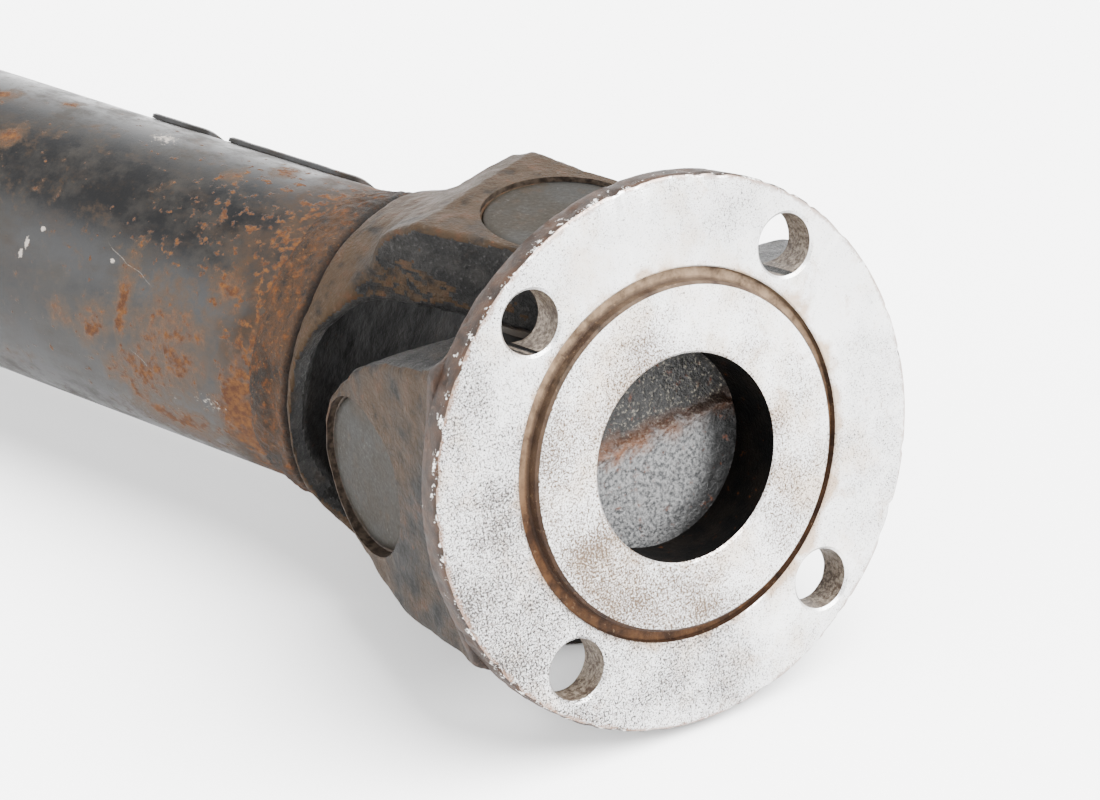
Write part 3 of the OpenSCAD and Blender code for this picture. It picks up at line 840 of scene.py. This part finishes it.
def machined_face(name, local):
    """Turned face: bright, with fine rust specks and stains near the groove and the edge."""
    s = Shader(name, local)
    r = s.radius()
    fine = s.noise(0.5, 2, 0.6)
    finer = s.noise(0.28, 2, 0.5, seed=6)
    cloud = s.noise(26, 4, 0.62, seed=1)
    stain = s.noise(8, 6, 0.66, seed=4, distortion=0.3)
    low_left = s.ramp(s.add(s.along(Y), s.times(s.along(Z), 0.4)), 12, -46)
    inner = s.ramp(r, 42, 34)
    level = s.add(s.ramp(cloud, 0.3, 0.7, -0.08, 0.1), s.times(low_left, 0.13),
                  s.times(inner, 0.045))
    speck = s.ramp(s.add(fine, level), 0.64, 0.69)
    dust = s.ramp(s.add(finer, level), 0.57, 0.7, 0, 0.8)
    by_groove = s.ramp(s.apart(r, GROOVE_R), 0.3, 3.6, 1, 0)
    by_edge = s.ramp(r, FLANGE_R - 2.2, FLANGE_R - 0.4)
    by_pocket = s.ramp(r, POCKET_R + 6, POCKET_R + 0.5)
    stained = s.ramp(s.add(stain, s.times(by_groove, 0.22), s.times(by_pocket, 0.08),
                           s.times(s.ramp(s.along(Y), -10, 30), 0.05)), 0.62, 0.8, 0, 0.75)
    color = s.over(STEEL, rgb(0.4, 0.405, 0.41), s.add(cloud, s.times(low_left, 0.2)), 0.4, 0.75)
    tan = s.ramp(s.add(s.noise(14, 5, 0.65, seed=31), s.times(inner, 0.08)), 0.52, 0.72, 0, 0.55)
    color = s.mix(tan, color, rgb(0.48, 0.37, 0.25))
    color = s.mix(stained, color, rgb(0.25, 0.145, 0.06))
    color = s.mix(dust, color, rgb(0.11, 0.085, 0.07))
    color = s.mix(speck, color, s.mix(inner, rgb(0.02, 0.016, 0.014), rgb(0.06, 0.034, 0.015)))
    chipped = s.ramp(s.add(s.noise(3, 5, 0.7, seed=9), s.times(by_edge, 0.3)), 0.66, 0.74, 0, 0.8)
    color = s.mix(s.times(chipped, by_edge), color, rgb(0.16, 0.085, 0.05))
    lathe_marks = s.node("ShaderNodeTexNoise", {
        "W": s.times(r, 2.2), "Detail": 2.0, "Scale": 1.0}, noise_dimensions="1D").outputs[0]
    s.bump(s.add(s.times(fine, 0.6), s.times(lathe_marks, 0.8), s.times(speck, -0.8)), 0.05, 0.5)
    dull = s.highest(speck, s.times(dust, 0.6), stained)
    return s.finish(color, s.ramp(dull, 0, 1, 0.36, 0.7), 0.5, s.ramp(dull, 0, 1, 0.9, 0.15))


def flange_rim(name, local):
    """Brown rim with chips of bright metal towards the face."""
    s = Shader(name, local)
    middle = s.noise(5, 6, 0.68, seed=3)
    fine = s.noise(1.0, 4, 0.7, seed=5)
    front = s.ramp(s.along(X), FACE - 4.2, FACE - 0.2)
    base = s.over(rgb(0.01, 0.0056, 0.0036), rgb(0.027, 0.0125, 0.0062), middle, 0.42, 0.62)
    base = s.over(base, rgb(0.08, 0.055, 0.042), fine, 0.6, 0.74, 0.6)
    chip_noise = s.noise(2.4, 5, 0.72, seed=14)
    chip = s.ramp(s.add(chip_noise, s.times(front, 0.13)), 0.66, 0.71)
    color = s.mix(chip, base, rgb(0.62, 0.6, 0.57))
    color = s.over(color, RUST_DARK, s.noise(3.5, 5, 0.7, seed=17), 0.66, 0.74, 0.6)
    s.bump(s.add(middle, s.times(fine, 0.6), s.times(chip, -0.5)), 0.3, 0.7)
    return s.finish(color, s.ramp(chip, 0, 1, 0.62, 0.42), 0.2, s.ramp(chip, 0, 1, 0.0, 0.6))


def rusty_groove(name, local):
    s = Shader(name, local)
    middle = s.noise(5, 6, 0.66, seed=2)
    fine = s.noise(0.9, 5, 0.7)
    upper = s.ramp(s.along(Z), -5, 32, 0, 0.75)
    color = s.over(rgb(0.022, 0.0095, 0.0042), rgb(0.075, 0.034, 0.013), middle, 0.4, 0.62)
    color = s.mix(s.times(upper, s.ramp(middle, 0.3, 0.6)), color, rgb(0.28, 0.2, 0.13))
    # Painted shade: the groove is darkened towards both of its walls.
    groove_wall_shade = s.ramp(s.apart(s.radius(), GROOVE_R - 1.3), 0.7, 1.3)
    color = s.mix(s.times(groove_wall_shade, 0.8), color, rgb(0.014, 0.007, 0.004))
    color = s.over(color, rgb(0.2, 0.13, 0.075), fine, 0.6, 0.74, 0.7)
    color = s.over(color, SOOT, s.noise(9, 4, 0.6, seed=8), 0.57, 0.68, 0.7)
    s.bump(s.add(middle, fine), 0.3, 0.6)
    return s.finish(color, 0.7, 0.15)


def hole_wall(name, local):
    s = Shader(name, local)
    fine = s.noise(0.9, 5, 0.72)
    patch = s.noise(4, 5, 0.62, seed=2)
    color = s.over(rgb(0.04, 0.027, 0.018), rgb(0.19, 0.155, 0.12), fine, 0.42, 0.62)
    color = s.over(color, rgb(0.022, 0.0115, 0.0065), patch, 0.5, 0.66, 0.8)
    s.bump(fine, 0.35, 0.6)
    return s.finish(color, 0.55, 0.3, 0.2)


def pocket_floor(name, local):
    """Bright granular lower half, dark upper half, and a rusty line where they meet."""
    s = Shader(name, local)
    fine = s.noise(0.8, 3, 0.62)
    fleck = s.noise(0.7, 3, 0.6, seed=11)
    wander = s.noise(5, 4, 0.6, seed=5)
    border = s.add(s.along(Z), s.times(s.along(Y), -0.09), s.ramp(wander, 0.2, 0.8, -2.6, 2.6))
    upper = s.ramp(border, 1.2, 3.4)
    line = s.ramp(s.apart(border, 1.9), 0.6, 3.8, 1, 0)
    bright = s.over(rgb(0.02, 0.021, 0.022), grey(0.128), fine, 0.38, 0.6)
    dark = s.over(rgb(0.004, 0.0037, 0.0034), rgb(0.11, 0.1, 0.08), fleck, 0.56, 0.68)
    shade = s.ramp(s.add(s.radius(), s.times(s.along(Y), 0.45)), 17, 25)
    bright = s.mix(shade, bright, grey(0.006))
    color = s.mix(upper, bright, dark)
    to_left = s.ramp(s.along(Y), 14, -12, 0.2, 0.9)
    rusty = s.times(s.times(line, to_left), s.ramp(wander, 0.35, 0.6, 0.3, 1))
    color = s.mix(rusty, color, rgb(0.1, 0.034, 0.008))
    spots = s.ramp(s.noise(2.4, 5, 0.68, seed=19), 0.6, 0.68, 0, 0.8)
    color = s.mix(spots, color, rgb(0.055, 0.017, 0.007))
    s.bump(s.add(s.times(fine, 1.2), s.times(fleck, 0.6)), 0.45, 0.8)
    return s.finish(color, s.ramp(fine, 0.3, 0.7, 0.6, 0.4), 0.35)


def bare_steel(name, color, roughness, rust=0.5, seed=0.0, metallic=0.8):
    s = Shader(name)
    fine = s.noise(1.3, 4, 0.6, seed=seed)
    cloud = s.noise(9, 5, 0.62, seed=seed + 2)
    marks = s.noise(3, 3, 0.5, stretch=(3, 0.5, 1), seed=seed + 4)
    tone = s.over(color, rgb(0.03, 0.016, 0.009), cloud, 0.45, 0.68, rust)
    tone = s.over(tone, SOOT, fine, 0.62, 0.74, 0.6)
    s.bump(s.add(fine, s.times(marks, 0.5)), 0.1, 0.5)
    rough = s.ramp(cloud, 0.3, 0.7, roughness - 0.06, roughness + 0.16)
    return s.finish(tone, rough, 0.5, metallic)


def cup_face(name):
    """Dull grey-brown face of a bearing cup, with specks and pale scuffs."""
    s = Shader(name)
    fine = s.noise(0.9, 4, 0.7, seed=3)
    cloud = s.noise(12, 5, 0.65, seed=5)
    tone = s.over(rgb(0.0115, 0.0108, 0.0095), rgb(0.0085, 0.0062, 0.0034), cloud, 0.4, 0.62)
    tone = s.over(tone, SCALE_BROWN, s.noise(4.5, 6, 0.7, seed=8), 0.54, 0.7, 0.7)
    tone = s.over(tone, rgb(0.06, 0.056, 0.052), fine, 0.63, 0.74, 0.6)
    s.bump(s.add(s.times(cloud, 0.7), fine), 0.12, 0.7)
    return s.finish(tone, s.ramp(fine, 0.3, 0.7, 0.62, 0.46), 0.1)


def bore_edge(name):
    """Rubbed metal of the chamfer round each cup."""
    s = Shader(name)
    fine = s.noise(1.6, 5, 0.7, seed=3)
    tone = s.over(rgb(0.034, 0.025, 0.018), rgb(0.008, 0.005, 0.0035), fine, 0.42, 0.6)
    s.bump(fine, 0.12, 0.5)
    return s.finish(tone, 0.5, 0.15, 0.1)


def rubber(name):
    s = Shader(name)
    fine = s.noise(2, 4, 0.6)
    tone = s.over(grey(0.0035), rgb(0.016, 0.014, 0.012), fine, 0.45, 0.7)
    s.bump(fine, 0.1, 0.4)
    return s.finish(tone, s.ramp(fine, 0.3, 0.7, 0.55, 0.8), 0.2)


def red_dabs(name, local):
    """Forging with the remains of red assembly paint."""
    s = Shader(name, local)
    middle = s.noise(6, 6, 0.65, seed=3)
    fine = s.noise(1.1, 4, 0.7, seed=5)
    base = s.over(SCALE_GREY, SCALE_BROWN, middle, 0.45, 0.65)
    base = s.over(base, rgb(0.06, 0.05, 0.04), fine, 0.6, 0.74, 0.6)
    dab = s.ramp(s.noise(1.7, 4, 0.6, seed=22), 0.62, 0.66)
    s.bump(s.add(s.times(middle, 1.6), fine), 0.5, 0.7)
    return s.finish(s.mix(dab, base, rgb(0.16, 0.008, 0.01)), 0.6, 0.16)


# ---- stage, lights, camera

WORLD_LOW = 4.8
WORLD_TOP = 1.0
FLOOR_HALF = 40


def stage():
    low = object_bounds()[0]
    corners = [(x * FLOOR_HALF, y * FLOOR_HALF, low.z)
               for x, y in ((-1, -1), (1, -1), (1, 1), (-1, 1))]
    floor = mesh_object("floor", corners, [(0, 1, 2, 3)])
    s = Shader("floor_white")
    tone = s.mix(s.noise(400, 2, 0.5), grey(0.88), grey(0.92))
    floor.data.materials.append(s.finish(tone, 0.9))
    floor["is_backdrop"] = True
    world = bpy.data.worlds.new("studio")
    bpy.context.scene.world = world
    world.use_nodes = True
    nodes, links = world.node_tree.nodes, world.node_tree.links
    direction = nodes.new("ShaderNodeTexCoord")
    split = nodes.new("ShaderNodeSeparateXYZ")
    fade = nodes.new("ShaderNodeMapRange")
    for key, value in (("From Min", 0.35), ("From Max", 0.8), ("To Min", WORLD_LOW),
                       ("To Max", WORLD_TOP)):
        fade.inputs[key].default_value = value
    links.new(direction.outputs["Generated"], split.inputs[0])
    links.new(split.outputs[Z], fade.inputs["Value"])
    background = nodes["Background"]
    background.inputs["Color"].default_value = grey(1)
    links.new(fade.outputs[0], background.inputs["Strength"])


def soft_box(name, direction, aim, distance, size, radiance):
    """Large soft light, seen in reflections but not by the camera itself."""
    data = bpy.data.lights.new(name, "AREA")
    data.shape = "RECTANGLE"
    data.size, data.size_y = size
    data.energy = radiance * math.pi * size[0] * size[1]
    light = new_object(name, data)
    light.location = Vector(aim) + Vector(direction).normalized() * distance
    light.rotation_euler = (-Vector(direction)).to_track_quat("-Z", "Y").to_euler()
    light.visible_camera = False


def sun(name, direction, spread_degrees, strength):
    data = bpy.data.lights.new(name, "SUN")
    data.angle = math.radians(spread_degrees)
    data.energy = strength
    light = new_object(name, data)
    light.rotation_euler = (-Vector(direction)).to_track_quat("-Z", "Y").to_euler()


def lights():
    soft_box("left_box", direction=(-0.5, -0.78, 0.38), aim=(-0.12, 0, 0), distance=1.3,
             size=(1.0, 0.8), radiance=6.8)
    sun("overhead", direction=(0.45, 0.15, 0.88), spread_degrees=60, strength=19)


def camera():
    """Long lens from the front right of flange A, looking down on it."""
    azimuth, elevation, roll = math.radians(34.24), math.radians(29.764), math.radians(0.4533)
    distance = 0.66
    aim = Vector((-0.038964, 0.007674, -0.002801))
    back = Vector((math.sin(azimuth) * math.cos(elevation),
                   -math.cos(azimuth) * math.cos(elevation), math.sin(elevation)))
    data = bpy.data.cameras.new("camera")
    data.sensor_width = 36
    data.lens = 99.18
    data.clip_end = 100
    cam = new_object("camera", data)
    cam.location = aim + back * distance
    turn = (-back).to_track_quat("-Z", "Y").to_matrix() @ Matrix.Rotation(roll, 3, "Z")
    cam.rotation_euler = turn.to_euler()
    bpy.context.scene.camera = cam


# ---- assembly

def paint_flange(obj, local, look):
    """Gives each face of a flange yoke its material by where it lies and which way it looks."""
    keys = list(look)
    for key in keys:
        obj.data.materials.append(look[key])
    back = FACE - FLANGE_T
    for polygon in obj.data.polygons:
        c = (local @ polygon.center) / MM
        n = local.to_3x3() @ polygon.normal
        r = math.hypot(c.y, c.z)
        off_bore = math.hypot(c.x, c.z)
        key = "forging"
        if r < POCKET_R + 0.3 and c.x > POCKET_FLOOR - 3.5 and c.x < PILOT_TOP - 0.4:
            # The pocket wall gets the near-black painted shade.
            key = "floor" if n.x > 0.4 else "wall"
        elif (c.x > back - 2 and r < FLANGE_R - 1
              and math.hypot(abs(c.y) - BOLT_Y, abs(c.z) - BOLT_Z) < BOLT_R + 0.2):
            key = "hole"
        elif PILOT_R - 0.7 < r < GROOVE_R + 0.1 and c.x > FACE - 2 and (n.x < 0.9 or r > PILOT_R):
            key = "groove"
        elif n.x > 0.6 and c.x > FACE - 0.5:
            key = "face"
        elif r > FLANGE_R - 3 and c.x > back + 0.6:
            key = "rim"
        elif abs(c.y) > EAR_OUT - 2 and off_bore < CUP_R + 1.6 and abs(n.y) < 0.9:
            key = "edge"
        elif c.y < -EAR_OUT + 9 and math.hypot(c.x + 3, c.z - 20) < 6 and n.z > 0.5:
            key = "red"
        elif abs(c.y) < EAR_IN + 1.5 and c.x < back - 0.5:
            # The inner faces of the ears get the near-black painted shade.
            key = "inner"
        elif abs(n.z) > 0.75 or n.x < -0.6:
            key = "side"
        polygon.material_index = keys.index(key)


def paint_fork(obj, local, look):
    """Outside of the arms rusty brown, their sides dark and granular, the slot and the dish near-black with
    painted shade.
    """
    keys = list(look)
    for key in keys:
        obj.data.materials.append(look[key])
    for polygon in obj.data.polygons:
        c = (local @ polygon.center) / MM
        n = local.to_3x3() @ polygon.normal
        r = math.hypot(c.y, c.z)
        outward = (n.y * c.y + n.z * c.z) / max(r, 0.1)
        key = "side"
        if abs(c.z) > EAR_OUT - 1.2 and math.hypot(c.x, c.y) < CUP_R + 1.6 and abs(n.z) < 0.9:
            key = "edge"
        elif outward > 0.55 or (c.x < NECK_END + 1 and r > DISH_R + 0.6):
            key = "forging"
        elif outward < -0.3 or (n.x > 0.5 and r < DISH_R + 0.6):
            # The slot and the dish get the near-black painted shade.
            key = "inner"
        polygon.material_index = keys.index(key)


def replace(obj, node, body):
    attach(obj, body)
    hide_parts(node)
    return obj


def bevel_node(node, width_mm):
    modifier = frame["nodes"][node].modifiers.new("worn_edges", "BEVEL")
    modifier.width = width_mm * MM
    modifier.segments = 2
    modifier.limit_method = "ANGLE"
    modifier.angle_limit = math.radians(50)


def yoke_looks(end, yoke_frame, flange):
    """Materials of one end, measured from its fork or from its flange."""
    # The "inner" and "wall" looks are near-black painted shade, with flecks of rust.
    fork = {"forging": forging("fork_rust_" + end, yoke_frame, 1.0, 1.0),
            "side": granular("fork_side_" + end, yoke_frame, 2.0),
            "edge": bore_edge("fork_bore_edge_" + end),
            "inner": painted_shade_and_rust_inside("fork_inside_shade_" + end, yoke_frame, 0.3, DISH_R + 0.2)}
    plate = {"forging": forging("flange_forging_" + end, flange, 0.85, 4.0),
             "side": granular("flange_side_" + end, flange, 6.0),
             "face": machined_face("machined_face_" + end, flange),
             "rim": flange_rim("flange_rim_" + end, flange),
             "hole": hole_wall("rusty_hole_" + end, flange),
             "groove": rusty_groove("rusty_groove_" + end, flange),
             "wall": painted_shade_and_rust_inside("pocket_wall_shade_" + end, flange, 0.8),
             "floor": pocket_floor("pocket_floor_" + end, flange),
             "edge": bore_edge("ear_bore_edge_" + end),
             "red": red_dabs("red_paint_dabs_" + end, flange),
             "inner": painted_shade_and_rust_inside("flange_inside_shade_" + end, flange)}
    return fork, plate


def build():
    fork_a, plate_a = yoke_looks("a", FRAME_A, FLANGE_A)
    fork_b, plate_b = yoke_looks("b", FRAME_B, FLANGE_B)
    paint = tube_paint("tube_black", FRAME_A)
    weld = rusty_weld("weld_rust_a", FRAME_A)
    cups = cup_face("cup_face")

    tube_low, tube_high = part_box("tube")
    tube_front = (tube_high[X] - CENTRE_A.x) / MM
    tube_back = (tube_low[X] - CENTRE_A.x) / MM
    tube = place(tube_shell(tube_front, tube_back), FRAME_A)
    tube.data.materials.append(paint)
    replace(tube, "tube", "tube_body")

    for end, matrix, node in (("a", FRAME_A, "tube_weld_a"), ("b", FRAME_B, "tube_weld_b")):
        low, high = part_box(node)
        ends = sorted((matrix.inverted() @ Vector((value, 0, 0))).x / MM
                      for value in (low[X], high[X]))
        bead = place(weld_bead("weld_bead_" + end, ends[1], ends[0], TUBE_R + 1.8, 3.0), matrix)
        bead.data.materials.append(weld if end == "a" else rusty_weld("weld_rust_b", FRAME_B))
        replace(bead, node, "tube_body")

    yoke = place(tube_yoke(0.65), FRAME_A)
    paint_fork(yoke, FRAME_A.inverted(), fork_a)
    replace(yoke, "tube_yoke", "tube_body")

    low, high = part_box("slip_yoke")
    mouth = -(high[X] - CENTRE_B.x) / MM
    slip = place(slip_yoke(1.0, mouth), FRAME_B)
    paint_fork(slip, FRAME_B.inverted(), fork_b)
    replace(slip, "slip_yoke", "slip_body")

    for name, node, matrix, body, step, seed, look in (
            ("flange_a_yoke", "flange_yoke_a", FLANGE_A, "flange_a_body", 0.7, 2, plate_a),
            ("flange_b_yoke", "flange_yoke_b", FLANGE_B, "flange_b_body", 1.1, 3, plate_b)):
        obj = place(flange_yoke(name, step, seed), matrix)
        paint_flange(obj, matrix.inverted(), look)
        replace(obj, node, body)

    for node, matrix, axis, body in (
            ("cups_tube_yoke", FRAME_A, "Z", "tube_body"),
            ("cups_flange_yoke_a", FLANGE_A, "Y", "flange_a_body"),
            ("cups_slip_yoke", FRAME_B, "Z", "slip_body"),
            ("cups_flange_yoke_b", FLANGE_B, "Y", "flange_b_body")):
        obj = place(cup_pair(node + "_turned", axis), matrix)
        obj.data.materials.append(cups)
        replace(obj, node, body)

    for node, first, last in (("balance_weight_1", 22, 61), ("balance_weight_2", 26, 61),
                              ("balance_weight_3", 250, 290)):
        low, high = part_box(node)
        ends = [(value - CENTRE_A.x) / MM for value in (high[X], low[X])]
        obj = weight_plate(node + "_plate", *ends, math.radians(first), math.radians(last))
        place(obj, FRAME_A).data.materials.append(paint)
        replace(obj, node, "tube_body")

    slots = {"tube_paint": plain_paint("small_part_paint"),
             "rusty_weld": weld,
             "rusty_forging": plate_a["forging"],
             "flange_steel": plate_a["face"],
             "machined_steel": bare_steel("machined_steel", rgb(0.17, 0.16, 0.145), 0.4, 0.7, 8.0),
             "dull_steel": bare_steel("dull_steel", rgb(0.030, 0.025, 0.020), 0.55, 0.8, 2.0, 0.1),
             "cup_steel": cups,
             "plated_steel": bare_steel("plated_steel", rgb(0.30, 0.26, 0.17), 0.36, 0.5, 5.0),
             "seal_rubber": rubber("seal_rubber")}
    for entry in frame["record"]["subparts"]:
        mesh = frame["nodes"][entry["node"]].data
        mesh.materials.clear()
        mesh.materials.append(slots[entry["material_slot"]])
    for node in ("dust_cap", "stub_shaft", "cross_a", "cross_b"):
        bevel_node(node, 0.4)
    stage()
    lights()


camera()
build()
